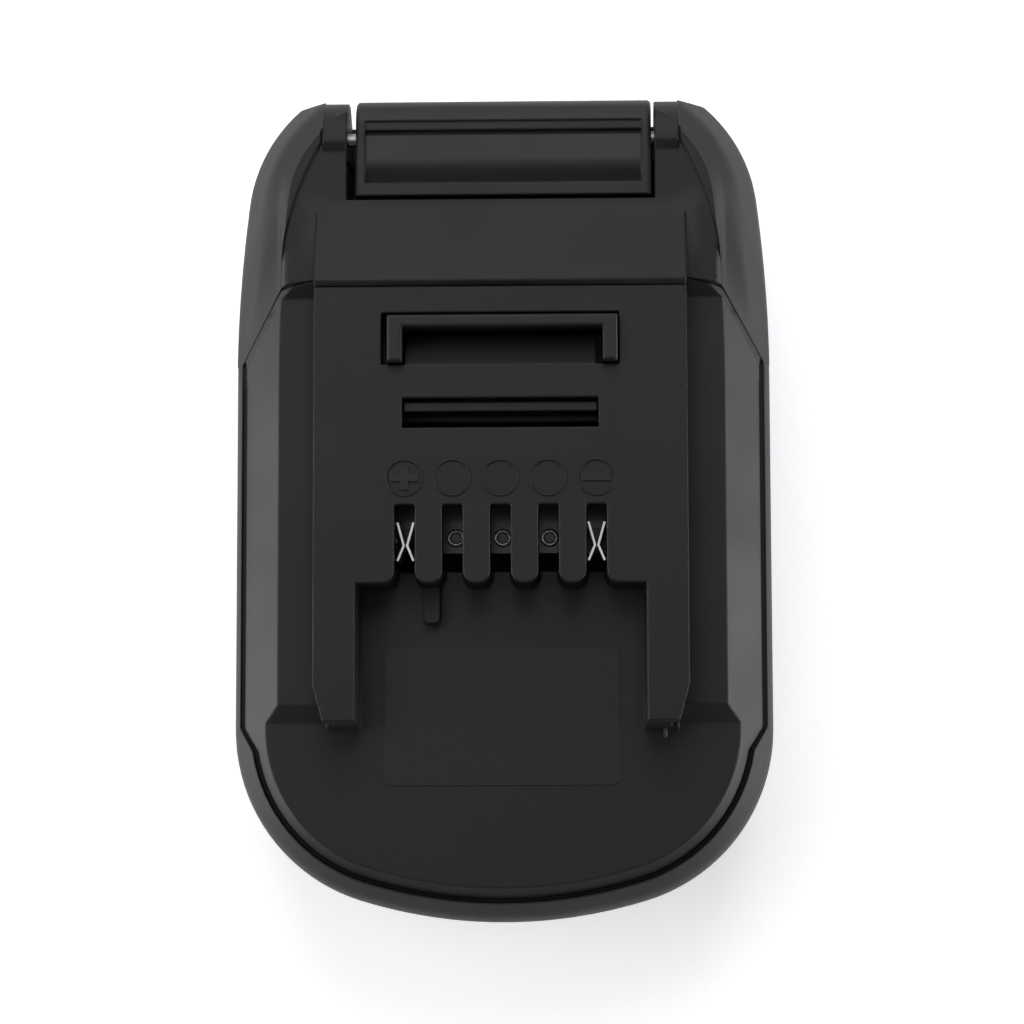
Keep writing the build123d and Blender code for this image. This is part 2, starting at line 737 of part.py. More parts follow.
stop_y = (lock_y + lock_length / 2 + window_foot_y) / 2
tongue_half = hook_half - hook_leg_width - latch_shift - latch_play / 2
tongue_end_y = hook_front_y - hook_thick - tongue_gap
with BuildPart() as cover:
    add(cover_rim.part)
    add(groove_rim.part)
    add(cover_lip.part)
    with BuildSketch(Plane.XY.offset(ledge_z - wall)):
        with BuildLine():
            Polyline(
                (0, cover_end_y),
                (platform_half, cover_end_y),
                (platform_half, leg_end_y + leg_chamfer_y),
                (platform_half - leg_chamfer_x, leg_end_y),
                (0, leg_end_y),
            )
            mirror(about=Plane.YZ)
        make_face()
    extrude(amount=platform_z - ledge_z + wall)
    # Drafted ends of the legs
    leg_end = [
        (leg_end_y + wall, platform_z),
        (leg_end_y, platform_z),
        (leg_end_y - leg_end_run, floor_z),
        (leg_end_y - leg_end_run, floor_z - wall / 2),
        (leg_end_y + wall, floor_z - wall / 2),
    ]
    add(profile(leg_end, platform_half - leg_chamfer_x))
    # Rail grooves under the edges of the platform
    for side in (-1, 1):
        with BuildSketch(Plane.XZ.offset(strip_length + wall - strip_end_y)):
            with BuildLine():
                Polyline(
                    (side * web_half, ledge_z),
                    (side * half_w, ledge_z),
                    (side * half_w, platform_z - groove_roof),
                    (side * web_half, platform_z - groove_roof),
                    close=True,
                )
            make_face()
        extrude(amount=strip_end_y - end_y, mode=Mode.SUBTRACT)
    # Recess between the legs and the slots whose fingers end in it
    with BuildSketch(Plane.XY.offset(platform_z)) as mouth:
        with Locations((0, mouth_y - leg_length / 2 - overrun / 2)):
            Rectangle(2 * leg_half, leg_length + overrun)
        with Locations(*[(x, mouth_y + slot_length / 2 - finger_round) for x in slot_places]):
            Rectangle(slot_width, slot_length + 2 * finger_round)
        inner_corners = mouth.vertices().filter_by(lambda point: abs(point.Y - mouth_y) < seat_gap)
        fillet(inner_corners.sort_by(Axis.X)[1:-1], radius=finger_round)
        fillet(mouth.vertices().group_by(Axis.Y)[-1], radius=slot_end_r)
    extrude(amount=floor_z - platform_z, taper=leg_draft, mode=Mode.SUBTRACT)
    add(cover_room.part, mode=Mode.SUBTRACT)
    # Latch window with its tongue, and the interlock slot
    with BuildSketch(Plane.XY.offset(roof_z - wall)):
        with Locations((0, window_y)):
            Rectangle(window_width, window_length)
        with Locations((0, lock_y)):
            Rectangle(lock_width, lock_length)
    extrude(amount=2 * wall, mode=Mode.SUBTRACT)
    tongue = [
        (window_foot_y - wall, platform_z),
        (window_foot_y, platform_z),
        (tongue_end_y, platform_z - tongue_drop),
        (tongue_end_y, platform_z - tongue_drop - tongue_thick),
        (window_foot_y - wall, roof_z - seat_gap),
    ]
    add(profile(tongue, tongue_half))
    # Ribs that stop the latch at the top of its travel, and bosses for the case screws
    with BuildSketch(Plane.XY.offset(latch_z + seat_gap)):
        with Locations((-post_x, stop_y), (post_x, stop_y)):
            Rectangle(stop_thick, stop_length)
    extrude(amount=roof_z - latch_z)
    with BuildSketch(Plane.XY.offset(ceiling_z + case_boss_height)):
        with Locations(*case_screw_places):
            Circle(cover_boss_d / 2)
    extrude(amount=floor_z - seat_gap - ceiling_z - case_boss_height)
    with BuildSketch(Plane.XY.offset(ceiling_z + case_boss_height)):
        with Locations(*case_screw_places):
            Circle(case_shank_d / 2 + seat_gap)
    screw_top_z = bay_depth + case_head_depth + case_shank_length
    extrude(amount=screw_top_z + free_gap - ceiling_z - case_boss_height, mode=Mode.SUBTRACT)
    # Keying rib on the recess floor
    with BuildSketch(Plane.XY.offset(floor_z - wall / 2)):
        with Locations((key_rib_x, mouth_y - key_rib_length / 2 + wall / 2)):
            RectangleRounded(key_rib_width, key_rib_length + wall, key_rib_r)
    extrude(amount=key_rib_height + wall / 2)
    # Small stub at the foot of the right leg
    with BuildSketch(Plane.XY.offset(floor_z - wall / 2)):
        with Locations((stub_x, leg_end_y - leg_end_run)):
            Rectangle(stub_width, 2 * stub_length)
    extrude(amount=stub_height + wall / 2)
save(cover, "tool_side_cover")

# Release button: a rocker with a scooped finger rest
button_rear_y = bay_wall_y + button_gap
button_front_y = front_y - button_front_back
button_top_z = deck_z + button_rise
plate_z = button_top_z - button_plate
toe_z = latch_z + seat_gap
skirt_z = button_top_z - button_skirt
bend_y = button_front_y - button_front_r
bend_z = button_top_z - button_front_r
scoop_rear_y = button_rear_y + scoop_from_edge
scoop_front_y = scoop_rear_y + scoop_length
groove_y = scoop_front_y - scoop_step_length
pad_y = groove_y - scoop_groove
with BuildPart() as button:
    with BuildSketch(Plane.YZ.offset(button_shift - button_width / 2)):
        with BuildLine():
            Polyline((button_rear_y, toe_z), (button_rear_y, button_top_z), (bend_y, button_top_z))
            CenterArc((bend_y, bend_z), button_front_r, 0, 90)
            Polyline(
                (button_front_y, bend_z),
                (button_front_y, skirt_z),
                (button_front_y - button_wall, skirt_z),
                (button_front_y - button_wall, bend_z),
            )
            CenterArc((bend_y, bend_z), button_front_r - button_wall, 0, 90)
            Polyline(
                (bend_y, button_top_z - button_wall),
                (bend_y, plate_z),
                (button_rear_y + toe_length, plate_z),
                (button_rear_y + toe_length, toe_z),
                (button_rear_y, toe_z),
            )
        make_face()
        with Locations((pin_y, pin_z)):
            Circle(button_boss_d / 2)
    extrude(amount=button_width)
    outer_edges = button.edges().filter_by(
        lambda edge: edge.center().Z > button_top_z - button_edge_r
        or abs(edge.center().Y - button_front_y) < seat_gap
        or (edge.geom_type == GeomType.CIRCLE and edge.radius > button_front_r - button_wall / 2)
    )
    fillet(outer_edges.filter_by(lambda edge: edge.length < button_width / 2), radius=button_edge_r)
    with BuildSketch(Plane.YZ.offset(button_shift - button_width / 2 + scoop_margin)) as scoop:
        with BuildLine():
            Polyline(
                (scoop_front_y, button_top_z + overrun),
                (scoop_front_y, button_top_z - scoop_step_depth),
                (groove_y, button_top_z - scoop_step_depth),
                (groove_y, button_top_z - scoop_groove_depth),
                (pad_y, button_top_z - scoop_groove_depth),
                (pad_y, button_top_z - scoop_depth),
                (pad_y - scoop_ridge_length, button_top_z - scoop_ridge_depth),
                (scoop_rear_y + scoop_wall, button_top_z - scoop_deep),
                (scoop_rear_y, button_top_z),
                (scoop_rear_y, button_top_z + overrun),
                close=True,
            )
        make_face()
        ridge = (pad_y - scoop_ridge_length, button_top_z - scoop_ridge_depth)
        fillet(scoop.vertices().sort_by_distance(ridge)[0], radius=scoop_ridge_r)
    extrude(amount=button_width - 2 * scoop_margin, mode=Mode.SUBTRACT)
    with BuildSketch(Plane.YZ.offset(button_shift - button_width / 2)):
        with Locations((pin_y, pin_z)):
            Circle(pin_d / 2 + pin_run_gap)
    extrude(amount=button_width, mode=Mode.SUBTRACT)
save(button, "release_button")

# Steel pin that the button rocks on, held at both ends by the lugs
with BuildPart() as pin:
    with BuildSketch(Plane.YZ):
        with Locations((pin_y, pin_z)):
            Circle(pin_d / 2)
    extrude(amount=button_bay_width / 2 + pin_reach, both=True)
save(pin, "pivot_pin")

# Latch slider: the plate that carries the hook and the interlock rib, with a tail under the button
latch_rear_y = rib_y - rib_thick / 2 - latch_margin
latch_front_y = post_y + latch_lead
hook_foot_y = window_foot_y + hook_leg_gap
with BuildPart() as latch:
    with BuildSketch(Plane.XY.offset(latch_foot_z)):
        with Locations((latch_shift, (latch_rear_y + latch_front_y) / 2)):
            Rectangle(2 * latch_half, latch_front_y - latch_rear_y)
        with Locations((latch_shift, (latch_rear_y + tail_end_y) / 2)):
            Rectangle(2 * tail_half, tail_end_y - latch_rear_y)
        with Locations((-post_x, post_y), (post_x, post_y)):
            Circle(post_d / 2 + latch_run_gap, mode=Mode.SUBTRACT)
    extrude(amount=latch_thick)
    with BuildSketch(Plane.XY.offset(latch_z)):
        with Locations((latch_shift, hook_front_y - hook_thick / 2)):
            Rectangle(2 * hook_half, hook_thick)
        leg_offset = hook_half - hook_leg_width / 2
        hook_mid_y = (hook_foot_y + hook_front_y) / 2
        with Locations((latch_shift - leg_offset, hook_mid_y), (latch_shift + leg_offset, hook_mid_y)):
            Rectangle(hook_leg_width, hook_front_y - hook_foot_y)
    extrude(amount=platform_z + hook_rise - latch_z)
    chamfer(latch.edges().group_by(Axis.Z)[-1], length=hook_edge)
    with BuildSketch(Plane.XY.offset(latch_z)):
        with Locations((0, rib_y)):
            Rectangle(lock_width - 2 * rib_play, rib_thick)
    extrude(amount=platform_z - rib_drop - latch_z)
save(latch, "latch_slider")


def spring(x, y):
    """Open coil around (x, y), one unbroken wire on pairs of tangent arcs, closer at its ends."""
    radius = (spring_d - spring_wire) / 2
    low = ceiling_z + seat_gap + spring_wire / 2
    rise = latch_foot_z - ceiling_z - 2 * seat_gap - spring_wire
    steps = 4 * spring_turns
    angles = [2 * pi * spring_turns * i / steps for i in range(steps + 1)]
    shares = [i / steps for i in range(steps + 1)]
    heights = [low + rise * (s - spring_close_share * sin(2 * pi * s) / (2 * pi)) for s in shares]
    slopes = [rise * (1 - spring_close_share * cos(2 * pi * s)) for s in shares]
    points = [
        Vector(x + radius * cos(a), y + radius * sin(a), h) for a, h in zip(angles, heights)
    ]
    speed = 2 * pi * spring_turns * radius
    ways = [Vector(-speed * sin(a), speed * cos(a), g).normalized() for a, g in zip(angles, slopes)]
    least = min(heights[i + 4] - heights[i] for i in range(steps - 3)) - spring_wire
    print("spring least gap", round(least, 3), "allowed", spring_least_gap)
    with BuildPart() as body:
        with BuildLine() as wire:
            for start, end, start_way, end_way in zip(points, points[1:], ways, ways[1:]):
                chord = end - start
                both = start_way + end_way
                spread = 2 * (1 - start_way.dot(end_way))
                along = chord.dot(both)
                reach = (sqrt(along**2 + spread * chord.dot(chord)) - along) / spread
                middle = (start + start_way * reach + end - end_way * reach) / 2
                turn = TangentArc(start, middle, tangent=start_way)
                TangentArc(middle, end, tangent=turn % 1)
        with BuildSketch(Plane(origin=wire.line @ 0, z_dir=wire.line % 0)):
            Circle(spring_wire / 2)
        sweep(path=wire.line)
    return body


for side, name in ((-1, "latch_spring_left"), (1, "latch_spring_right")):
    save(spring(side * post_x, post_y), name)

# Contact board, screwed to two bosses under the slots
with BuildPart() as board:
    with BuildSketch(Plane.XY.offset(board_foot_z)):
        with Locations((0, (board_rear_y + board_front_y) / 2)):
            RectangleRounded(2 * board_half, board_length, board_thick / 2)
        with Locations((-board_screw_x, board_screw_y), (board_screw_x, board_screw_y)):
            Circle(small_shank_d / 2 + seat_gap, mode=Mode.SUBTRACT)
    extrude(amount=board_thick)
save(board, "contact_board")

# Spring clips in the two outer slots: two leaves that pinch a tool blade, on a soldered base
clip_y = slot_end_y - clip_from_slot_end
for x, name in ((slot_places[0], "positive_clip"), (slot_places[-1], "negative_clip")):
    with BuildPart() as clip:
        with BuildSketch(Plane.XY.offset(board_z)):
            with Locations((x, clip_y - clip_base_length / 2)):
                Rectangle(clip_base_width, clip_base_length)
        extrude(amount=clip_sheet)
        with BuildSketch(Plane.XY.offset(board_z + clip_sheet)):
            for side in (-1, 1):
                with BuildLine():
                    leaf = Polyline(
                        (x + side * clip_spread, clip_y),
                        (x + side * clip_nip_half, clip_y - clip_nip),
                        (x + side * clip_spread, clip_y - clip_length),
                    )
                trace(leaf, clip_sheet)
        extrude(amount=clip_height)
    save(clip, name)

# Solder at the feet of the clips, and the tinned rings of the three slots that hold no clip
clip_foot_y = clip_y - clip_base_length / 2
foot_x = clip_base_width / 2 + solder_height / 2 + seat_gap
with BuildPart() as clip_solder:
    with BuildSketch(Plane.XY.offset(board_z)):
        for x in (slot_places[0], slot_places[-1]):
            with Locations((x - foot_x, clip_foot_y), (x + foot_x, clip_foot_y)):
                Circle(solder_height / 2)
    extrude(amount=clip_sheet)
    chamfer(clip_solder.edges().group_by(Axis.Z)[-1], length=clip_sheet / 2)
save(clip_solder, "clip_solder_joints")

with BuildPart() as pads:
    with BuildSketch(Plane.XY.offset(board_z)):
        with Locations(*[(x, mouth_y + pad_from_mouth) for x in slot_places[1:-1]]):
            Circle(pad_d / 2 + pad_bead)
            Circle(pad_d / 2 - pad_bead, mode=Mode.SUBTRACT)
    extrude(amount=pad_bead)
    fillet(pads.edges().group_by(Axis.Z)[-1], radius=pad_bead * pad_round_share)
save(pads, "spare_pads")

# Board screws
board_screw = screw(small_head_d, small_head_height, small_shank_d, small_shank_length)
with BuildPart() as board_screws:
    for x in (-board_screw_x, board_screw_x):
        add(Pos(x, board_screw_y, board_z) * Rot(180, 0, 0) * board_screw)
save(board_screws, "board_screws")

# Block that holds the battery blades, screwed up against the ceiling of the bay
blade_profile = [
    (blade_rear_y, blade_foot_z),
    (block_front_y + blade_reach - blade_tip, blade_foot_z),
    (block_front_y + blade_reach, blade_foot_z + blade_tip),
    (block_front_y + blade_reach, blade_foot_z + blade_height - blade_tip),
    (block_front_y + blade_reach - blade_tip, blade_foot_z + blade_height),
    (tab_y + tab_length / 2, blade_foot_z + blade_height),
    (tab_y + tab_length / 2, ceiling_z + tab_rise),
    (tab_y - tab_length / 2, ceiling_z + tab_rise),
    (tab_y - tab_length / 2, blade_foot_z + blade_height),
    (blade_rear_y, blade_foot_z + blade_height),
]
with BuildPart() as block:
    with BuildSketch(Plane.XY.offset(bay_depth)):
        with Locations((0, block_y)):
            Rectangle(2 * block_half, block_length)
    extrude(amount=-block_height)
    chamfer(block.edges().group_by(Axis.Z)[0].filter_by(Axis.X), length=skin)
    for x in (-blade_x, blade_x):
        with BuildSketch(Plane.YZ.offset(x - blade_sheet / 2 - seat_gap)):
            with Locations((block_front_y, blade_foot_z + blade_height / 2)):
                Rectangle(2 * (block_front_y - blade_rear_y + seat_gap), blade_height + 2 * seat_gap)
            with Locations((tab_y, bay_depth)):
                Rectangle(tab_length + 2 * seat_gap, 2 * (bay_depth - blade_foot_z))
        extrude(amount=blade_sheet + 2 * seat_gap, mode=Mode.SUBTRACT)
    with BuildSketch(Plane.XY.offset(bay_depth)):
        with Locations((-block_screw_x, block_y), (block_screw_x, block_y)):
            Circle(small_shank_d / 2 + seat_gap)
    extrude(amount=-small_shank_length, mode=Mode.SUBTRACT)
save(block, "blade_block")

for x, name in ((-blade_x, "positive_blade"), (blade_x, "negative_blade")):
    with BuildPart() as blade:
        with BuildSketch(Plane.YZ.offset(x - blade_sheet / 2)):
            with BuildLine():
                Polyline(*blade_profile, close=True)
            make_face()
        extrude(amount=blade_sheet)
    save(blade, name)

block_screw = screw(small_head_d, small_head_height, small_shank_d, small_shank_length)
with BuildPart() as block_screws:
    for x in (-block_screw_x, block_screw_x):
        add(Pos(x, block_y, ceiling_z) * Rot(180, 0, 0) * block_screw)
save(block_screws, "block_screws")

# Leads from the underside of the board to the tabs of the blades, along the ceiling of the bay
lead_top_z = board_foot_z - solder_height
lead_end_y = tab_y + tab_length / 2 + solder_height
lead_drop = lead_top_z - lead_z
lead_span = lead_root_y - lead_end_y
lead_half = lead_drop * lead_turn_share


def lead(side):
    """Round lead that leaves the board downwards and runs back to the blade tab on its side."""
    points = [
        Vector(side * lead_x, lead_root_y, lead_top_z),
        Vector(side * lead_x, lead_root_y, lead_top_z - lead_half),
        Vector(side * lead_x, lead_root_y - lead_half, lead_z + lead_drop * lead_slope_share),
        Vector(side * lead_x, lead_root_y - lead_drop * lead_settle_share, lead_z),
        Vector(side * blade_x, lead_root_y - lead_span * lead_spread_share, lead_z),
        Vector(side * blade_x, lead_end_y, lead_z),
    ]
    radii = []
    for before, corner, after in zip(points, points[1:], points[2:]):
        turn = radians((corner - before).get_angle(after - corner))
        shorter = min((corner - before).length, (after - corner).length)
        radii.append(lead_bend_share * shorter / tan(turn / 2))
    print("lead radii", [round(r, 1) for r in radii])
    with BuildPart() as body:
        with BuildLine() as route:
            FilletPolyline(*points, radius=radii)
        with BuildSketch(Plane(origin=route.line @ 0, z_dir=route.line % 0)):
            Circle(lead_d / 2)
        sweep(path=route.line)
    run = route.wires()[0].length
    tube = pi * (lead_d / 2) ** 2 * run
    print("lead length", round(run, 1), "volume", round(body.part.volume, 1), "of", round(tube, 1))
    return body


save(lead(-1), "positive_lead")
save(lead(1), "negative_lead")

with BuildPart() as lead_solder:
    with BuildSketch(Plane.XY.offset(board_foot_z)):
        with Locations((-lead_x, lead_root_y), (lead_x, lead_root_y)):
            Circle(solder_d / 2)
    extrude(amount=-solder_height, taper=side_draft)
    with BuildSketch(Plane.XZ.offset(-(lead_end_y - solder_height))):
        with Locations((-blade_x, lead_z), (blade_x, lead_z)):
            Circle(solder_d / 2)
    extrude(amount=-solder_height, taper=side_draft)
save(lead_solder, "lead_solder_joints")

# Case screws, driven up from the ceiling of the bay into the cover
case_screw = screw(case_head_d, case_head_height, case_shank_d, case_shank_length)
with BuildPart() as case_screws:
    for x, y in case_screw_places:
        add(Pos(x, y, bay_depth + case_head_depth) * case_screw)
save(case_screws, "case_screws")

# Blank label on the recess floor
with BuildPart() as label:
    with BuildSketch(Plane.XY.offset(floor_z)):
        with Locations((0, mouth_y - label_from_mouth - label_length / 2)):
            RectangleRounded(label_width, label_length, label_r)
    extrude(amount=label_thick)
save(label, "blank_label")
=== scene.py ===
import math
import bmesh
import bpy
from mathutils import Matrix, Vector


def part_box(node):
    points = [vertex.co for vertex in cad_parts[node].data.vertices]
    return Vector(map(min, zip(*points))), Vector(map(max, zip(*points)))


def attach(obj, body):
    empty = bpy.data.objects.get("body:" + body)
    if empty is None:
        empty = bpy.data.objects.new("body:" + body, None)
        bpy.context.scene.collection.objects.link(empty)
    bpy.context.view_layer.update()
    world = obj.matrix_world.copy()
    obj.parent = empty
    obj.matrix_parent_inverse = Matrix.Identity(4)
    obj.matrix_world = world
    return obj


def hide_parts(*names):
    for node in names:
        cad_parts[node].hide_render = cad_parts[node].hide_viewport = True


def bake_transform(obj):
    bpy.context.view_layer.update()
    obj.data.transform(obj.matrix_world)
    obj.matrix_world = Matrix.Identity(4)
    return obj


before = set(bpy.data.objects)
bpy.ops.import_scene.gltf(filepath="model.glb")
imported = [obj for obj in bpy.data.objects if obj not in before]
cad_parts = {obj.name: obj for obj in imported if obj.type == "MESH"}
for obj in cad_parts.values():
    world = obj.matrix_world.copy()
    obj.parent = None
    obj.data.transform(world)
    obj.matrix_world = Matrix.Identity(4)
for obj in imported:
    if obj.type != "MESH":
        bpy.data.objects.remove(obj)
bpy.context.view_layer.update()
MM = 0.001


# Photo table: white card under the adapter. Long strip boxes lie low on its left and right, so that slopes
# shine. Larger soft boxes hang high beyond the button end and on the left, and two weak ones fill the ends.
table_side = 2.6
table_colour = (0.9, 0.9, 0.9, 1)
table_rough = 0.7
table_glow = 0.55
strip_size = (0.42, 0.1)
high_size = (0.5, 0.5)
low_size = (0.5, 0.25)
white = (1.0, 0.98, 1.0)
soft_boxes = {
    "left_strip": ((-0.5, -0.085, 0.06), strip_size, 2.0, white),
    "right_strip": ((0.5, -0.085, 0.06), strip_size, 2.25, white),
    "high_left_box": ((-0.5, 0.1, 0.75), high_size, 1.6, white),
    "high_far_box": ((0, 0.5, 0.75), high_size, 3.0, (0.94, 0.95, 1.0)),
    "top_box": ((0, 0, 0.95), high_size, 0.5, white),
    "far_box": ((0, 0.6, 0.28), low_size, 0.9, (0.9, 0.94, 1.0)),
    "near_box": ((0, -0.6, 0.28), low_size, 0.3, white),
}
room_colour = (0.96, 0.96, 1.0, 1)
room_strength = 0.01


def card(name, side):
    half = side / 2
    mesh = bpy.data.meshes.new(name)
    corners = [(-half, -half, 0), (half, -half, 0), (half, half, 0), (-half, half, 0)]
    mesh.from_pydata(corners, [], [(0, 1, 2, 3)])
    sheet = bpy.data.objects.new(name, mesh)
    bpy.context.scene.collection.objects.link(sheet)
    return sheet


def new_material(name):
    """Material with its node tree and its Principled BSDF."""
    material = bpy.data.materials.new(name)
    material.use_nodes = True
    return material, material.node_tree, material.node_tree.nodes["Principled BSDF"]


def card_material(colour, own_light):
    """White card that looks brighter to the camera and in reflections than the lamps make it."""
    material, tree, surface = new_material("white_card")
    nodes, links = tree.nodes, tree.links
    surface.inputs["Base Color"].default_value = colour
    surface.inputs["Roughness"].default_value = table_rough
    path = nodes.new("ShaderNodeLightPath")
    seen = path.outputs["Is Camera Ray"]
    for way in ("Is Glossy Ray", "Is Transmission Ray"):
        either = nodes.new("ShaderNodeMath")
        either.operation = "MAXIMUM"
        links.new(seen, either.inputs[0])
        links.new(path.outputs[way], either.inputs[1])
        seen = either.outputs[0]
    glow = nodes.new("ShaderNodeMath")
    glow.operation = "MULTIPLY"
    glow.inputs[1].default_value = own_light
    surface.inputs["Emission Color"].default_value = (1, 1, 1, 1)
    links.new(seen, glow.inputs[0])
    links.new(glow.outputs[0], surface.inputs["Emission Strength"])
    return material


def soft_box(name, place, size, power, colour):
    lamp = bpy.data.lights.new(name, "AREA")
    lamp.shape = "RECTANGLE"
    lamp.size, lamp.size_y = size
    lamp.energy = power
    lamp.color = colour
    box = bpy.data.objects.new(name, lamp)
    box.location = place
    box.rotation_euler = (-Vector(place)).to_track_quat("-Z", "Y").to_euler()
    box.visible_camera = False
    bpy.context.scene.collection.objects.link(box)


table = card("photo_table", table_side)
table.data.materials.append(card_material(table_colour, table_glow))
for name, box in soft_boxes.items():
    soft_box(name, *box)

world = bpy.data.worlds.new("studio")
bpy.context.scene.world = world
world.use_nodes = True
room_light = world.node_tree.nodes["Background"]
room_light.inputs["Color"].default_value = room_colour
room_light.inputs["Strength"].default_value = room_strength


# Camera: almost straight above the tool side, leaning a little towards the round end. The long lens keeps
# the perspective weak, as in the photograph.
camera_aim = Vector((1.3, -0.225, 33)) * MM
camera_distance = 450 * MM
camera_lean = math.radians(6)
camera_sway = math.radians(1.5)
camera_roll = math.radians(-0.15)
camera_lens = 108.95
camera_sensor = 36
camera_clip = (0.02, 20)

lens = bpy.data.cameras.new("camera")
lens.lens = camera_lens
lens.sensor_width = camera_sensor
lens.clip_start, lens.clip_end = camera_clip
camera = bpy.data.objects.new("camera", lens)
bpy.context.scene.collection.objects.link(camera)
back = Vector((math.sin(camera_sway), -math.sin(camera_lean), 0))
back.z = math.sqrt(1 - back.length_squared)
across = (-back).cross(Vector((0, 1, 0))).normalized()
upward = across.cross(-back).normalized()
facing = Matrix((across, upward, back)).transposed().to_4x4()
place = Matrix.Translation(camera_aim + back * camera_distance)
camera.matrix_world = place @ facing @ Matrix.Rotation(camera_roll, 4, "Z")
bpy.context.scene.camera = camera
bpy.context.scene.view_settings.view_transform = "Standard"


# Battery side housing: the outer shell, injection moulded in dark grey nylon from a spark-eroded tool that
# leaves a fine grain. The case screws hold it to the cover. Its edges are a little rubbed, and their paler
# colour is partly that wear and partly painted highlight.
housing_colour = (0.0150, 0.0146, 0.0162)
housing_rough = 0.5
grain_size = 0.22 * MM
grain_depth = 0.012 * MM
grain_detail = (2.5, 0.6)
patch_scale = 70.0
patch_detail = (3.0, 0.55)
patch_share = 0.12
patch_rough = 1.2
speck_gain, speck_base = 0.8, 0.6
speck_rough = 0.12
edge_radius = 0.4 * MM
edge_rub_and_highlight = 0.3
edge_turn = 1.6
edge_samples = 6
wear_scale = 900.0
wear_detail = (3.0, 0.7)
wear_gain, wear_base = 2.4, -0.6
edge_mask_turn = 5.0
# Paler colour at the edges: partly rubbed wear, partly painted highlight.
rub_and_highlight_keep, rub_and_highlight_pale = 0.55, 0.05
worn_polish = -0.3
plastic_gloss = 0.3
weld = 0.0005 * MM
sharp_turn = math.radians(26)

# Where the shoulders meet the cover: the outer end of the slanted seam and the way ahead of it, seen from
# above, and the sloping band of the cover that runs along the seam.
seam_foot = Vector((37.3, 21.2)) * MM
seam_ahead = Vector((0.873, 0.488))
seam_slack = 0.5 * MM
band_edge = 38.98 * MM
band_low = 32.2 * MM
band_rise = 1.057
band_bow = 2.4
band_middle = 19.1 * MM
crest_side = 31.2 * MM
crest_fade = 0.8 * MM
swell_low = band_low + 0.3 * MM
swell_length = 9 * MM
fine_edge = 1 * MM
fine_passes = 7
upright = 0.2


def group(name, inputs, outputs):
    """Shader node group with these sockets, and its input and output nodes."""
    tree = bpy.data.node_groups.new(name, "ShaderNodeTree")
    kinds = {"value": "NodeSocketFloat", "colour": "NodeSocketColor", "vector": "NodeSocketVector"}
    for label, kind, start in inputs:
        socket = tree.interface.new_socket(name=label, in_out="INPUT", socket_type=kinds[kind])
        socket.default_value = start
    for label, kind in outputs:
        tree.interface.new_socket(name=label, in_out="OUTPUT", socket_type=kinds[kind])
    return tree, tree.nodes.new("NodeGroupInput"), tree.nodes.new("NodeGroupOutput")


def maths(tree, operation, first, second=None, third=None, clamp=False):
    """Math node on sockets or numbers, by its output."""
    node = tree.nodes.new("ShaderNodeMath")
    node.operation = operation
    node.use_clamp = clamp
    for socket, value in zip(node.inputs, (first, second, third)):
        if isinstance(value, bpy.types.NodeSocket):
            tree.links.new(value, socket)
        elif value is not None:
            socket.default_value = value
    return node.outputs[0]


def noise(tree, place, scale, detail, rough):
    node = tree.nodes.new("ShaderNodeTexNoise")
    node.inputs["Detail"].default_value = detail
    node.inputs["Roughness"].default_value = rough
    tree.links.new(place, node.inputs["Vector"])
    if isinstance(scale, bpy.types.NodeSocket):
        tree.links.new(scale, node.inputs["Scale"])
    else:
        node.inputs["Scale"].default_value = scale
    return node.outputs["Fac"]


def blend_colours(tree, share, first, second):
    node = tree.nodes.new("ShaderNodeMix")
    node.data_type = "RGBA"
    for socket, value in zip((node.inputs[0], node.inputs[6], node.inputs[7]), (share, first, second)):
        if isinstance(value, bpy.types.NodeSocket):
            tree.links.new(value, socket)
        else:
            socket.default_value = value
    return node.outputs[2]


def moulded_grain():
    """Fine spark-eroded grain, with faint cloudy patches where the plastic flowed and hands have rubbed."""
    tree, given, made = group(
        "moulded_grain",
        [("Colour", "colour", (*housing_colour, 1)), ("Grain size", "value", grain_size),
         ("Patches", "value", patch_share), ("Roughness", "value", housing_rough)],
        [("Colour", "colour"), ("Roughness", "value"), ("Height", "value")],
    )
    where = tree.nodes.new("ShaderNodeTexCoord").outputs["Object"]
    scale = maths(tree, "DIVIDE", 1.0, given.outputs["Grain size"])
    fine = noise(tree, where, scale, *grain_detail)
    patches = noise(tree, where, patch_scale, *patch_detail)
    spread = maths(tree, "SUBTRACT", patches, 0.5)
    lift = maths(tree, "MULTIPLY", spread, given.outputs["Patches"])
    speck = maths(tree, "MULTIPLY_ADD", maths(tree, "ADD", fine, lift), speck_gain, speck_base)
    shade = tree.nodes.new("ShaderNodeVectorMath")
    shade.operation = "SCALE"
    tree.links.new(given.outputs["Colour"], shade.inputs[0])
    tree.links.new(speck, shade.inputs["Scale"])
    tree.links.new(shade.outputs[0], made.inputs["Colour"])
    uneven = maths(tree, "MULTIPLY_ADD", lift, patch_rough, given.outputs["Roughness"])
    specked = maths(tree, "MULTIPLY_ADD", fine, speck_rough, uneven, clamp=True)
    tree.links.new(specked, made.inputs["Roughness"])
    tree.links.new(fine, made.inputs["Height"])
    return tree


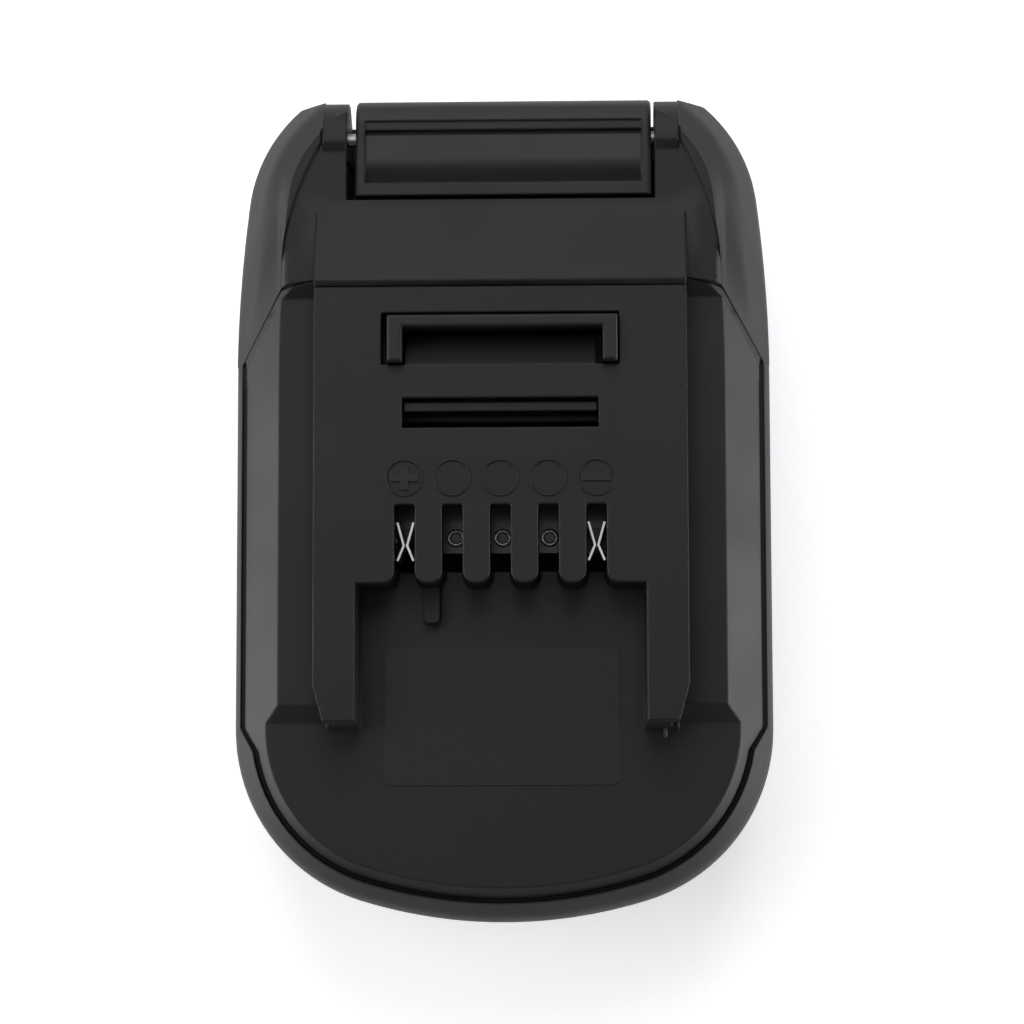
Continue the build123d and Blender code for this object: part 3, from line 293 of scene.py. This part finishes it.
def rubbed_and_highlit_edges():
    """Normals rounded over at the edges, and a mask of the edges that stands for rubbed wear and for painted
    highlight.
    """
    tree, given, made = group(
        "rubbed_and_highlit_edges",
        [("Radius", "value", edge_radius), ("Rub and highlight", "value", edge_rub_and_highlight), ("Turn", "value", edge_turn)],
        [("Normal", "vector"), ("Rubbed and highlit", "value")],
    )
    rounded = tree.nodes.new("ShaderNodeBevel")
    rounded.samples = edge_samples
    tree.links.new(given.outputs["Radius"], rounded.inputs["Radius"])
    true = tree.nodes.new("ShaderNodeNewGeometry").outputs["Normal"]
    alike = tree.nodes.new("ShaderNodeVectorMath")
    alike.operation = "DOT_PRODUCT"
    tree.links.new(rounded.outputs[0], alike.inputs[0])
    tree.links.new(true, alike.inputs[1])
    where = tree.nodes.new("ShaderNodeTexCoord").outputs["Object"]
    broken = noise(tree, where, wear_scale, *wear_detail)
    turn = maths(tree, "SUBTRACT", 1.0, alike.outputs["Value"])
    turned = maths(tree, "MULTIPLY", turn, edge_mask_turn, clamp=True)
    flecks = maths(tree, "MULTIPLY_ADD", broken, wear_gain, wear_base, clamp=True)
    patchy = maths(tree, "MULTIPLY", turned, flecks)
    tree.links.new(maths(tree, "MULTIPLY", patchy, given.outputs["Rub and highlight"]), made.inputs["Rubbed and highlit"])
    # A cut edge bends the rounded normal half way only, so the bend is drawn out to the full round
    bend, drawn_out, whole, unit = (tree.nodes.new("ShaderNodeVectorMath") for _ in range(4))
    for node, operation in ((bend, "SUBTRACT"), (drawn_out, "SCALE"), (whole, "ADD"), (unit, "NORMALIZE")):
        node.operation = operation
    tree.links.new(rounded.outputs[0], bend.inputs[0])
    tree.links.new(true, bend.inputs[1])
    tree.links.new(bend.outputs[0], drawn_out.inputs[0])
    tree.links.new(given.outputs["Turn"], drawn_out.inputs["Scale"])
    tree.links.new(drawn_out.outputs[0], whole.inputs[0])
    tree.links.new(true, whole.inputs[1])
    tree.links.new(whole.outputs[0], unit.inputs[0])
    tree.links.new(unit.outputs[0], made.inputs["Normal"])
    return tree


grain_group = moulded_grain()
edge_group = rubbed_and_highlit_edges()


def plastic(name, colour, rough, size, depth, patches=patch_share, rub_and_highlight=0.25, radius=edge_radius):
    """Moulded plastic: grain in colour, roughness and height, over normals rounded at the edges."""
    material, tree, surface = new_material(name)
    surface.inputs["Specular IOR Level"].default_value = plastic_gloss
    grain = tree.nodes.new("ShaderNodeGroup")
    grain.node_tree = grain_group
    grain.inputs["Colour"].default_value = (*colour, 1)
    grain.inputs["Grain size"].default_value = size
    grain.inputs["Patches"].default_value = patches
    grain.inputs["Roughness"].default_value = rough
    edges = tree.nodes.new("ShaderNodeGroup")
    edges.node_tree = edge_group
    edges.inputs["Radius"].default_value = radius
    edges.inputs["Rub and highlight"].default_value = rub_and_highlight
    # The edges turn paler: partly rubbed wear, partly painted highlight.
    pale = tuple(rub_and_highlight_keep * part + rub_and_highlight_pale for part in colour)
    worn_and_highlit = blend_colours(tree, edges.outputs["Rubbed and highlit"], grain.outputs["Colour"], (*pale, 1))
    tree.links.new(worn_and_highlit, surface.inputs["Base Color"])
    grained = grain.outputs["Roughness"]
    polished = maths(tree, "MULTIPLY_ADD", edges.outputs["Rubbed and highlit"], worn_polish, grained, clamp=True)
    tree.links.new(polished, surface.inputs["Roughness"])
    bump = tree.nodes.new("ShaderNodeBump")
    bump.inputs["Distance"].default_value = depth
    tree.links.new(grain.outputs["Height"], bump.inputs["Height"])
    tree.links.new(edges.outputs["Normal"], bump.inputs["Normal"])
    tree.links.new(bump.outputs["Normal"], surface.inputs["Normal"])
    return material


def smooth_copy(node, name):
    """Copy of a CAD node, welded, with its curved faces smooth and its edges crisp."""
    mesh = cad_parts[node].data.copy()
    mesh.name = name
    mesh.materials.clear()
    if "custom_normal" in mesh.attributes:
        mesh.attributes.remove(mesh.attributes["custom_normal"])
    work = bmesh.new()
    work.from_mesh(mesh)
    bmesh.ops.remove_doubles(work, verts=work.verts, dist=weld)
    for face in work.faces:
        face.smooth = True
    for edge in work.edges:
        edge.smooth = len(edge.link_faces) == 2 and edge.calc_face_angle() < sharp_turn
    work.to_mesh(mesh)
    work.free()
    piece = bpy.data.objects.new(name, mesh)
    bpy.context.scene.collection.objects.link(piece)
    even = piece.modifiers.new("even_normals", "WEIGHTED_NORMAL")
    even.keep_sharp = True
    return piece


def dress(node, name, body, material, shaping=None):
    """Smooth copy of a CAD node in its finish, standing for the node."""
    piece = smooth_copy(node, name)
    if shaping:
        shaping(piece.data)
    piece.data.materials.append(material)
    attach(piece, body)
    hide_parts(node)


def eased(part):
    """Smooth step from 0 to 1."""
    part = min(max(part, 0), 1)
    return part * part * (3 - 2 * part)


def shoulder_place(point):
    """Distance ahead of the slanted seam, and the height that the cover's sloping band would have here."""
    side = abs(point.x)
    ahead = (Vector((side, point.y)) - seam_foot).dot(seam_ahead)
    inward = band_edge - side - band_bow * (point.y - band_middle) ** 2
    return ahead, band_low + band_rise * inward


def on_shoulder(point, margin):
    """Whether a point of the housing lies on the part of a shoulder that is lowered, or this near to it."""
    ahead, band = shoulder_place(point)
    level = point.z > band - margin and point.z > swell_low
    return level and -seam_slack < ahead < swell_length + margin and abs(point.x) > crest_side - margin


def ease_shoulders(mesh):
    """Starts the shoulders level with the cover along the slanted seams and swells them from there."""
    work = bmesh.new()
    work.from_mesh(mesh)
    for _ in range(fine_passes):
        coarse = [edge for edge in work.edges if edge.calc_length() > fine_edge
                  and any(on_shoulder(vert.co, fine_edge) for vert in edge.verts)
                  and any(abs(face.normal.z) > upright for face in edge.link_faces)]
        if not coarse:
            break
        bmesh.ops.subdivide_edges(work, edges=coarse, cuts=1)
        bmesh.ops.triangulate(work, faces=[face for face in work.faces if len(face.verts) > 3])
    for vert in work.verts:
        if on_shoulder(vert.co, 0):
            ahead, band = shoulder_place(vert.co)
            drop = (vert.co.z - band) * (1 - eased(ahead / swell_length))
            vert.co.z -= drop * eased((abs(vert.co.x) - crest_side) / crest_fade)
    work.to_mesh(mesh)
    work.free()


housing_plastic = plastic("housing_plastic", housing_colour, rough=housing_rough, size=grain_size,
                          depth=grain_depth)
dress("battery_side_housing", "housing_shell", "adapter", housing_plastic, ease_shoulders)


# Tool side cover: the inner shell in the same nylon. Its flat faces were moulded against a slightly finer
# grain than the outside, and tools that slide on rub the rail edges. Its edges are paler, partly from that
# rubbing and partly as painted highlight.
cover_colour = (0.0146, 0.0142, 0.0155)
cover_grain = 0.16 * MM
groove_depth = 0.6 * MM
groove_fill = 0.44 * MM
groove_reach = 0.27 * MM
groove_wall = 0.3


def fill_groove(mesh):
    """Lifts the floor of the groove along the seam and pushes its outer edge almost against the housing."""
    work = bmesh.new()
    work.from_mesh(mesh)
    feet = set()
    for edge in work.edges:
        rise = edge.verts[1].co - edge.verts[0].co
        if abs(abs(rise.z) - groove_depth) < weld and rise.xy.length < weld:
            feet.add(min(edge.verts, key=lambda vert: vert.co.z))
    floor = {vert for foot in feet for face in foot.link_faces if face.normal.z > groove_wall
             for vert in face.verts}
    outward = {}
    for vert in floor - feet:
        walls = [face.normal for face in vert.link_faces if abs(face.normal.z) < groove_wall]
        if walls:
            way = sum(walls, Vector()).xy
            outward[vert] = way.normalized().to_3d() * groove_reach
    for vert in floor:
        vert.co.z += groove_fill
    for vert, way in outward.items():
        vert.co += way
    work.to_mesh(mesh)
    work.free()


cover_plastic = plastic("cover_plastic", cover_colour, rough=0.46, size=cover_grain, depth=0.008 * MM,
                        patches=0.16, rub_and_highlight=0.4)
dress("tool_side_cover", "cover_shell", "adapter", cover_plastic, fill_groove)


# Polarity marks: five fine raised rings moulded on the platform above the slots, with a plus in the ring of
# the positive contact and a minus in that of the negative one.
ring_count = 5
ring_pitch = 6.78 * MM
ring_radius = 2.53 * MM
ring_line = 0.36 * MM
ring_rise = 0.26 * MM
ring_edge = 0.06 * MM
sign_long = 1.95 * MM
sign_short = 1.7 * MM
sign_wide = 1.05 * MM
ring_y = 3.33 * MM
ring_sides = 48
round_sides = 12
platform_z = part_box("tool_side_cover")[1].z


def value_tree(name, inputs):
    """Empty geometry tree with named number inputs and a mesh output."""
    tree = bpy.data.node_groups.new(name, "GeometryNodeTree")
    tree.interface.new_socket(name="Geometry", in_out="INPUT", socket_type="NodeSocketGeometry")
    for label, kind, start in inputs:
        socket = tree.interface.new_socket(name=label, in_out="INPUT", socket_type=kind)
        if start is not None:
            socket.default_value = start
    tree.interface.new_socket(name="Geometry", in_out="OUTPUT", socket_type="NodeSocketGeometry")
    return tree, tree.nodes.new("NodeGroupInput"), tree.nodes.new("NodeGroupOutput")


def join_up(tree, pairs):
    for start, end in pairs:
        tree.links.new(start, end)


def grown(name, tree, values, material):
    """Plain mesh object made by a geometry tree with these input values, in this material."""
    seed = bpy.data.objects.new(name + "_seed", bpy.data.meshes.new(name + "_seed"))
    bpy.context.scene.collection.objects.link(seed)
    modifier = seed.modifiers.new("tree", "NODES")
    modifier.node_group = tree
    sockets = {item.name: item.identifier for item in tree.interface.items_tree if item.in_out == "INPUT"}
    for label, value in {**values, "Material": material}.items():
        modifier[sockets[label]] = value
    seed.data.materials.append(material)
    bpy.context.view_layer.update()
    ready = seed.evaluated_get(bpy.context.evaluated_depsgraph_get())
    mesh = bpy.data.meshes.new_from_object(ready)
    mesh.name = name
    bpy.data.objects.remove(seed)
    piece = bpy.data.objects.new(name, mesh)
    bpy.context.scene.collection.objects.link(piece)
    return piece


def ring_tree():
    numbers = [("Count", "NodeSocketInt", ring_count), ("Pitch", "NodeSocketFloat", ring_pitch)]
    sizes = ("Radius", "Line", "Rise", "Long", "Short", "Wide")
    numbers += [(label, "NodeSocketFloat", MM) for label in sizes]
    numbers += [("Place", "NodeSocketVector", (0, 0, 0)), ("Material", "NodeSocketMaterial", None)]
    tree, given, made = value_tree("polarity_rings", numbers)
    new = tree.nodes.new
    # Row of points, one per contact
    row = new("GeometryNodeMeshLine")
    step = new("ShaderNodeCombineXYZ")
    tree.links.new(given.outputs["Pitch"], step.inputs["X"])
    spans = maths(tree, "SUBTRACT", given.outputs["Count"], 1.0)
    half_row = maths(tree, "MULTIPLY", maths(tree, "MULTIPLY", spans, given.outputs["Pitch"]), -0.5)
    start = new("ShaderNodeCombineXYZ")
    tree.links.new(half_row, start.inputs["X"])
    join_up(tree, [(given.outputs["Count"], row.inputs["Count"]), (step.outputs[0], row.inputs["Offset"]),
                   (start.outputs[0], row.inputs["Start Location"])])
    # Section of the raised line of a ring: a low half-round
    section = new("GeometryNodeCurvePrimitiveCircle")
    section.inputs["Resolution"].default_value = round_sides
    tree.links.new(maths(tree, "MULTIPLY", given.outputs["Line"], 0.5), section.inputs["Radius"])
    ring = new("GeometryNodeCurvePrimitiveCircle")
    ring.inputs["Resolution"].default_value = ring_sides
    tree.links.new(given.outputs["Radius"], ring.inputs["Radius"])
    ring_mesh = new("GeometryNodeCurveToMesh")
    join_up(tree, [(ring.outputs["Curve"], ring_mesh.inputs["Curve"]),
                   (section.outputs["Curve"], ring_mesh.inputs["Profile Curve"])])
    on_row = new("GeometryNodeInstanceOnPoints")
    join_up(tree, [(row.outputs["Mesh"], on_row.inputs["Points"]),
                   (ring_mesh.outputs["Mesh"], on_row.inputs["Instance"])])
    everything = new("GeometryNodeJoinGeometry")
    tree.links.new(on_row.outputs["Instances"], everything.inputs["Geometry"])
    # Bars of the plus on the left, its cross bar in two halves, and of the minus on the right
    right_end = maths(tree, "MULTIPLY", half_row, -1.0)
    whole = {label: maths(tree, "MULTIPLY", given.outputs[label], 2.0) for label in ("Long", "Short")}
    half_wide = maths(tree, "MULTIPLY", given.outputs["Wide"], 0.5)
    arm = maths(tree, "SUBTRACT", given.outputs["Long"], half_wide)
    off = maths(tree, "MULTIPLY_ADD", arm, 0.5, half_wide)
    for centre, across, along in (
        (half_row, given.outputs["Wide"], whole["Short"]),
        (maths(tree, "SUBTRACT", half_row, off), arm, given.outputs["Wide"]),
        (maths(tree, "ADD", half_row, off), arm, given.outputs["Wide"]),
        (right_end, whole["Long"], given.outputs["Wide"]),
    ):
        size = new("ShaderNodeCombineXYZ")
        bar = new("GeometryNodeMeshCube")
        shift = new("GeometryNodeTransform")
        spot = new("ShaderNodeCombineXYZ")
        join_up(tree, [(across, size.inputs["X"]), (along, size.inputs["Y"]),
                       (given.outputs["Line"], size.inputs["Z"]), (size.outputs[0], bar.inputs["Size"]),
                       (bar.outputs["Mesh"], shift.inputs["Geometry"]),
                       (centre, spot.inputs["X"]), (spot.outputs[0], shift.inputs["Translation"]),
                       (shift.outputs["Geometry"], everything.inputs["Geometry"])])
    # Realised, pressed flat to the rise and set down on the platform
    real = new("GeometryNodeRealizeInstances")
    flat = new("GeometryNodeTransform")
    squeeze = new("ShaderNodeCombineXYZ")
    squeeze.inputs["X"].default_value = squeeze.inputs["Y"].default_value = 1.0
    half_line = maths(tree, "MULTIPLY", given.outputs["Line"], 0.5)
    tree.links.new(maths(tree, "DIVIDE", given.outputs["Rise"], half_line), squeeze.inputs["Z"])
    paint = new("GeometryNodeSetMaterial")
    join_up(tree, [(everything.outputs["Geometry"], real.inputs["Geometry"]),
                   (real.outputs["Geometry"], flat.inputs["Geometry"]),
                   (squeeze.outputs[0], flat.inputs["Scale"]),
                   (given.outputs["Place"], flat.inputs["Translation"]),
                   (flat.outputs["Geometry"], paint.inputs["Geometry"]),
                   (given.outputs["Material"], paint.inputs["Material"]),
                   (paint.outputs["Geometry"], made.inputs["Geometry"])])
    return tree


ring_values = {"Count": ring_count, "Pitch": ring_pitch, "Radius": ring_radius, "Line": ring_line,
               "Rise": ring_rise, "Long": sign_long, "Short": sign_short, "Wide": sign_wide,
               "Place": (0, ring_y, platform_z)}
mark_plastic = plastic("mark_plastic", cover_colour, rough=0.4, size=cover_grain, depth=0.004 * MM,
                       rub_and_highlight=0.6, radius=ring_edge)
rings = grown("polarity_rings", ring_tree(), ring_values, mark_plastic)
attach(rings, "adapter")


# Release button: a hollow rocker with a scooped finger rest, moulded in the same nylon. Thumbs have
# polished it a little.
button_colour = (0.0155, 0.0151, 0.0166)
button_plastic = plastic("button_plastic", button_colour, rough=0.42, size=0.2 * MM, depth=0.006 * MM,
                         rub_and_highlight=0.3)
dress("release_button", "button_shell", "button", button_plastic)


# Latch slider: hook and interlock rib on one plate, moulded smooth so that it slides. The hook stands a
# little above the platform and goes down into its window when the button is pressed.
latch_colour = (0.0140, 0.0137, 0.0148)
latch_plastic = plastic("latch_plastic", latch_colour, rough=0.38, size=0.3 * MM, depth=0.003 * MM, rub_and_highlight=0.3)
dress("latch_slider", "latch_moulding", "latch", latch_plastic)


# Pin of the button: ground steel rod, 2 mm across, pressed into the lugs. Only its ends show, in the gaps
# beside the button.
steel_colour = (0.34, 0.33, 0.32)
metal_edge = 0.08 * MM
metal_depth = 0.002 * MM
streak_detail = (3.0, 0.6)
tarnish_scale = 400.0
tarnish_detail = (3.0, 0.5)
tarnish_shade = 0.72
# Dark colour of the painted shade low in the slots.
foot_shade_colour = (0.035, 0.033, 0.028, 1)


def metal(name, colour, rough, streak, streak_size, stretch=(1, 1, 1), radius=metal_edge, shaded_below=None):
    """Metal with fine streaks in its roughness and height, drawn out along one way, over rounded edges.

    The last argument gives two heights: below the first the colour is darkened with painted shade, and above
    the second it is left as it is.
    """
    material, tree, surface = new_material(name)
    surface.inputs["Metallic"].default_value = 1.0
    where = tree.nodes.new("ShaderNodeTexCoord").outputs["Object"]
    drawn = tree.nodes.new("ShaderNodeMapping")
    drawn.inputs["Scale"].default_value = stretch
    tree.links.new(where, drawn.inputs["Vector"])
    lines = noise(tree, drawn.outputs["Vector"], 1 / streak_size, *streak_detail)
    tarnish = noise(tree, where, tarnish_scale, *tarnish_detail)
    dull = tuple(tarnish_shade * part for part in colour)
    toned = blend_colours(tree, tarnish, (*dull, 1), (*colour, 1))
    # Painted shade: darker towards the bottom, below the given heights.
    if shaded_below:
        parts = tree.nodes.new("ShaderNodeSeparateXYZ")
        tree.links.new(where, parts.inputs[0])
        out_of_shade = tree.nodes.new("ShaderNodeMapRange")
        for socket, value in zip(("From Min", "From Max", "To Min", "To Max"), (*shaded_below, 0.0, 1.0)):
            out_of_shade.inputs[socket].default_value = value
        tree.links.new(parts.outputs["Z"], out_of_shade.inputs["Value"])
        toned = blend_colours(tree, out_of_shade.outputs["Result"], foot_shade_colour, toned)
    tree.links.new(toned, surface.inputs["Base Color"])
    uneven = maths(tree, "MULTIPLY_ADD", lines, streak, rough - streak / 2, clamp=True)
    tree.links.new(uneven, surface.inputs["Roughness"])
    bump = tree.nodes.new("ShaderNodeBump")
    bump.inputs["Distance"].default_value = metal_depth
    edges = tree.nodes.new("ShaderNodeGroup")
    edges.node_tree = edge_group
    edges.inputs["Radius"].default_value = radius
    tree.links.new(edges.outputs["Normal"], bump.inputs["Normal"])
    tree.links.new(lines, bump.inputs["Height"])
    tree.links.new(bump.outputs["Normal"], surface.inputs["Normal"])
    return material


ground_steel = metal("ground_steel", steel_colour, rough=0.4, streak=0.2, streak_size=0.1 * MM,
                     stretch=(1, 0.05, 0.05))
dress("pivot_pin", "button_pin", "adapter", ground_steel)


# Return springs: music wire wound open with its end turns closer, round the two guide posts. They press
# the latch up.
spring_colour = (0.5, 0.5, 0.52)
spring_turns = 5
spring_wire = 0.7 * MM
spring_close = 0.5
turn_sides = 32


def coil_tree():
    numbers = [("Turns", "NodeSocketFloat", spring_turns), ("Close", "NodeSocketFloat", spring_close)]
    numbers += [(label, "NodeSocketFloat", MM) for label in ("Radius", "Wire", "Rise")]
    numbers += [("Foot", "NodeSocketVector", (0, 0, 0)), ("Material", "NodeSocketMaterial", None)]
    tree, given, made = value_tree("return_spring", numbers)
    new = tree.nodes.new
    coil = new("GeometryNodeCurveSpiral")
    coil.inputs["Resolution"].default_value = turn_sides
    join_up(tree, [(given.outputs["Turns"], coil.inputs["Rotations"]),
                   (given.outputs["Radius"], coil.inputs["Start Radius"]),
                   (given.outputs["Radius"], coil.inputs["End Radius"])])
    # Wound flat first, and then lifted unevenly, so that the end turns lie closer
    coil.inputs["Height"].default_value = 0.0
    share = new("GeometryNodeSplineParameter").outputs["Factor"]
    wave = maths(tree, "SINE", maths(tree, "MULTIPLY", share, 2 * math.pi))
    less = maths(tree, "MULTIPLY", wave, maths(tree, "DIVIDE", given.outputs["Close"], 2 * math.pi))
    lift = maths(tree, "MULTIPLY", maths(tree, "SUBTRACT", share, less), given.outputs["Rise"])
    up = new("ShaderNodeCombineXYZ")
    tree.links.new(lift, up.inputs["Z"])
    raised = new("GeometryNodeSetPosition")
    section = new("GeometryNodeCurvePrimitiveCircle")
    section.inputs["Resolution"].default_value = round_sides
    tree.links.new(maths(tree, "MULTIPLY", given.outputs["Wire"], 0.5), section.inputs["Radius"])
    tube = new("GeometryNodeCurveToMesh")
    tube.inputs["Fill Caps"].default_value = True
    stand = new("GeometryNodeTransform")
    real = new("GeometryNodeRealizeInstances")
    paint = new("GeometryNodeSetMaterial")
    join_up(tree, [(coil.outputs["Curve"], raised.inputs["Geometry"]),
                   (up.outputs[0], raised.inputs["Offset"]),
                   (raised.outputs["Geometry"], tube.inputs["Curve"]),
                   (section.outputs["Curve"], tube.inputs["Profile Curve"]),
                   (tube.outputs["Mesh"], stand.inputs["Geometry"]),
                   (given.outputs["Foot"], stand.inputs["Translation"]),
                   (stand.outputs["Geometry"], real.inputs["Geometry"]),
                   (real.outputs["Geometry"], paint.inputs["Geometry"]),
                   (given.outputs["Material"], paint.inputs["Material"]),
                   (paint.outputs["Geometry"], made.inputs["Geometry"])])
    return tree


spring_steel = metal("spring_steel", spring_colour, rough=0.32, streak=0.15, streak_size=0.15 * MM)
spring_tree = coil_tree()
for side in ("left", "right"):
    low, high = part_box("latch_spring_" + side)
    middle = (low + high) / 2
    coil_values = {"Turns": spring_turns, "Close": spring_close, "Wire": spring_wire,
                   "Radius": (high.x - low.x - spring_wire) / 2, "Rise": high.z - low.z - spring_wire,
                   "Foot": (middle.x, middle.y, low.z + spring_wire / 2)}
    coil = grown("return_spring_" + side, spring_tree, coil_values, spring_steel)
    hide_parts("latch_spring_" + side)
    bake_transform(coil)


# Contact board: glass-epoxy board with dark green solder mask over copper tracks. It shows through the
# slots, and its sawn edges are bare.
board_colour = (0.006, 0.018, 0.011)
board_edge_colour = (0.16, 0.17, 0.11)
mask_coat = 0.6
mask_coat_rough = 0.15
mask_rough = 0.35
weave_scale = 1500.0
weave_detail = (2.0, 0.5)
weave_depth = 0.01 * MM
weave_shade = 1.6


def solder_mask(name, colour):
    material, tree, surface = new_material(name)
    surface.inputs["Coat Weight"].default_value = mask_coat
    surface.inputs["Coat Roughness"].default_value = mask_coat_rough
    surface.inputs["Roughness"].default_value = mask_rough
    where = tree.nodes.new("ShaderNodeTexCoord").outputs["Object"]
    weave = noise(tree, where, weave_scale, *weave_detail)
    pale = tuple(weave_shade * part for part in colour)
    face = blend_colours(tree, weave, (*colour, 1), (*pale, 1))
    # The sawn edges are bare glass epoxy
    parts = tree.nodes.new("ShaderNodeSeparateXYZ")
    tree.links.new(tree.nodes.new("ShaderNodeNewGeometry").outputs["True Normal"], parts.inputs[0])
    level = maths(tree, "ABSOLUTE", parts.outputs["Z"])
    sawn = maths(tree, "LESS_THAN", level, 0.5)
    tree.links.new(blend_colours(tree, sawn, face, (*board_edge_colour, 1)), surface.inputs["Base Color"])
    bump = tree.nodes.new("ShaderNodeBump")
    bump.inputs["Distance"].default_value = weave_depth
    tree.links.new(weave, bump.inputs["Height"])
    tree.links.new(bump.outputs["Normal"], surface.inputs["Normal"])
    return material


green_mask = solder_mask("green_mask", board_colour)
dress("contact_board", "board_plate", "adapter", green_mask)


# Contact clips: springy tinned bronze sheet, folded so that two leaves pinch the tool's blade and cross
# when nothing is in them. Solder holds their feet. The leaves get darker towards their feet with painted
# shade of the deep slots. The three spare pads are only tinned.
tin_colour = (0.85, 0.84, 0.82)
solder_colour = (0.45, 0.45, 0.43)
board_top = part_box("contact_board")[1].z
# Heights over the board between which the painted shade on the clip leaves fades out.
foot_shade_heights = (board_top + 1.5 * MM, board_top + 5.5 * MM)
tin_plate = metal("tin_plate", tin_colour, rough=0.25, streak=0.12, streak_size=0.2 * MM, shaded_below=foot_shade_heights)
solder_metal = metal("solder_metal", solder_colour, rough=0.3, streak=0.15, streak_size=0.3 * MM,
                     radius=0.25 * MM)
for node in ("positive_clip", "negative_clip"):
    dress(node, node + "_leaves", "adapter", tin_plate)
for node in ("clip_solder_joints", "spare_pads", "lead_solder_joints"):
    dress(node, node + "_tinned", "adapter", solder_metal)


# Screws: zinc-plated pan heads with a cross recess, in the board, the blade block and the case. The plating
# is a little dull.
zinc_colour = (0.5, 0.5, 0.53)
zinc_plate = metal("zinc_plate", zinc_colour, rough=0.34, streak=0.2, streak_size=0.15 * MM)
for node in ("board_screws", "block_screws", "case_screws"):
    dress(node, node + "_plated", "adapter", zinc_plate)


# Blade block and battery blades: a nylon block carries two stamped brass blades into the battery bay. The
# rolling streaks of the brass run along them.
block_colour = (0.022, 0.022, 0.023)
brass_colour = (0.8, 0.72, 0.5)
block_plastic = plastic("block_plastic", block_colour, rough=0.45, size=0.25 * MM, depth=0.006 * MM)
blade_brass = metal("blade_brass", brass_colour, rough=0.28, streak=0.18, streak_size=0.12 * MM,
                    stretch=(1, 0.06, 1))
dress("blade_block", "block_moulding", "adapter", block_plastic)
for node in ("positive_blade", "negative_blade"):
    dress(node, node + "_stamping", "adapter", blade_brass)


# Leads inside: stranded copper in soft insulation, red to the positive blade and black to the other. The
# insulation is a little scuffed.
lead_colours = {"positive_lead": ("red_insulation", (0.5, 0.02, 0.015)),
                "negative_lead": ("black_insulation", (0.015, 0.015, 0.015))}
scuff_scale = 1200.0
scuff_detail = (3.0, 0.6)
scuff_shade = 0.7
scuff_rough = 0.2
insulation_rough = 0.3


def insulation(name, colour):
    material, tree, surface = new_material(name)
    where = tree.nodes.new("ShaderNodeTexCoord").outputs["Object"]
    scuff = noise(tree, where, scuff_scale, *scuff_detail)
    dark = tuple(scuff_shade * part for part in colour)
    tree.links.new(blend_colours(tree, scuff, (*dark, 1), (*colour, 1)), surface.inputs["Base Color"])
    uneven = maths(tree, "MULTIPLY_ADD", scuff, scuff_rough, insulation_rough)
    tree.links.new(uneven, surface.inputs["Roughness"])
    return material


for node, (finish, colour) in lead_colours.items():
    dress(node, node + "_insulation", "adapter", insulation(finish, colour))


# Label: thin black film stuck to the recess floor, bare here. It is a little smoother than the plastic, and
# its edges are cut sharp.
label_colour = (0.016, 0.016, 0.017)
label_edge = 0.05 * MM
label_film = plastic("label_film", label_colour, rough=0.4, size=0.5 * MM, depth=0.002 * MM,
                     patches=0.2, rub_and_highlight=0.5, radius=label_edge)
dress("blank_label", "label_blank_film", "adapter", label_film)
